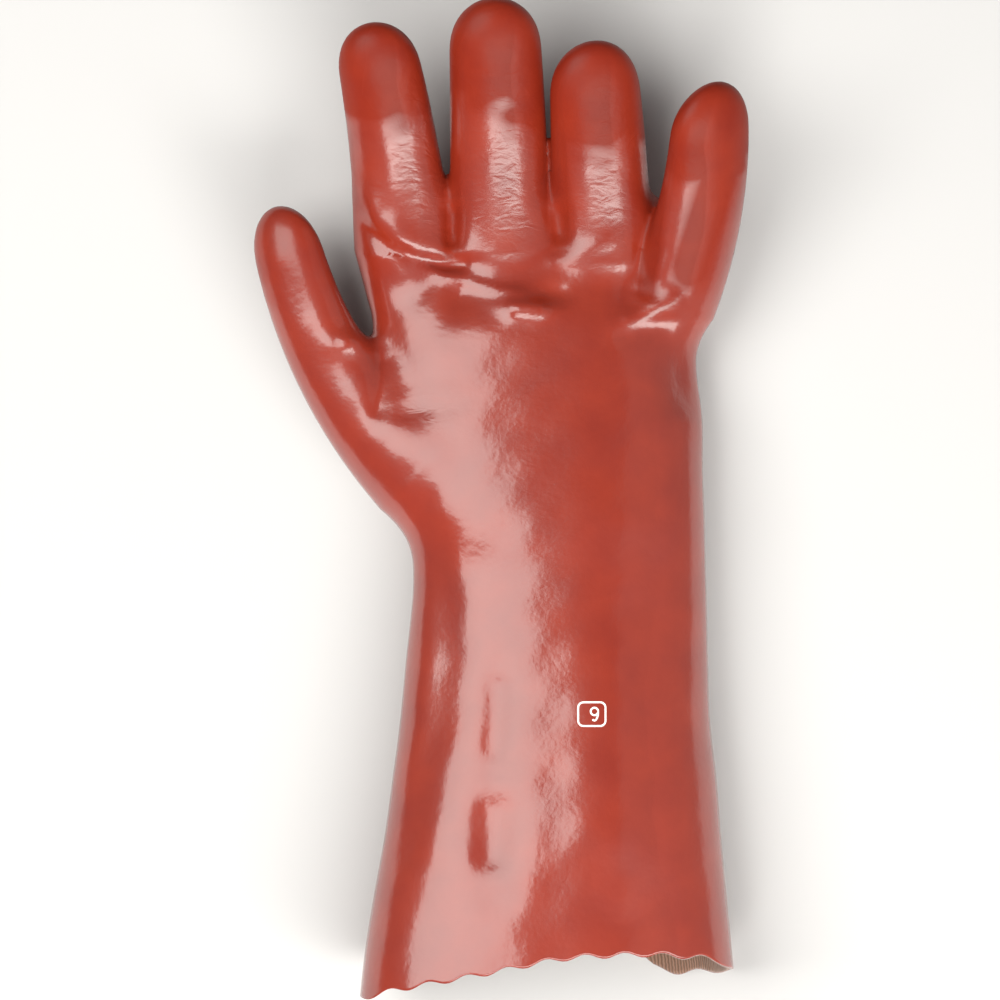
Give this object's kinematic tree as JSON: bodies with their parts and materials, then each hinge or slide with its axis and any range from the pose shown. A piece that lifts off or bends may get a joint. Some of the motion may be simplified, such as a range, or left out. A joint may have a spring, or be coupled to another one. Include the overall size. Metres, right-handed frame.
{
  "type": "work gauntlet",
  "caption": "Left hand work gauntlet lying palm up: a glossy dipped coat over a knitted liner, with curled fingers, a flared forearm and a wavy cut cuff.",
  "frame": {"origin": "on the flat of the back of the hand, in the plane the glove lies on, half way along its length", "axes": "+Y from the cuff to the fingertips, +Z out of the palm, and the thumb on the -X side"},
  "size_m": [0.1719, 0.345, 0.0694],
  "materials": {
    "dipped_pvc": "glossy dipped",
    "knit_cotton": "matt rib knit"
  },
  "bodies": {
    "root": {"pvc_shell": "dipped_pvc", "knit_liner": "knit_cotton"}
  },
  "joints": []
}
